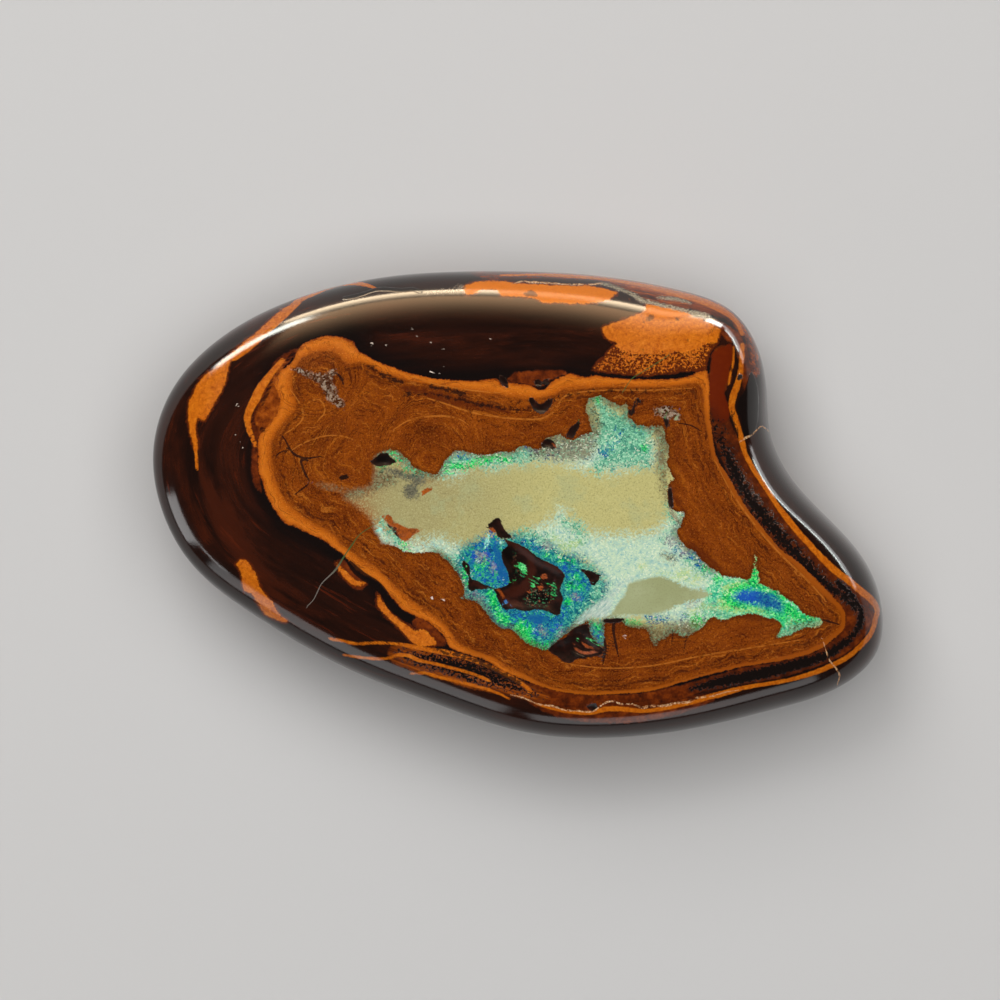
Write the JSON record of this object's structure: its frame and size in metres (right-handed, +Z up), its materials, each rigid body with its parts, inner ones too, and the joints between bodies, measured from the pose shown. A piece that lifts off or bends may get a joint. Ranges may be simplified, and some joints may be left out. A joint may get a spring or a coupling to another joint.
{
  "type": "polished boulder opal",
  "caption": "Solid freeform of polished boulder opal: a low domed ironstone pebble with an opal heart, lying on a flat ground base.",
  "frame": {"origin": "on the flat ground base, under the middle of the stone's box", "axes": "+X along the stone's length towards its narrow tip, +Y across its width towards the straighter long side, +Z up through the polished face"},
  "size_m": [0.073, 0.0467, 0.0171],
  "materials": {
    "opal_ironstone": "high hand polish"
  },
  "bodies": {
    "root": {"boulder_opal": "opal_ironstone"}
  },
  "joints": []
}
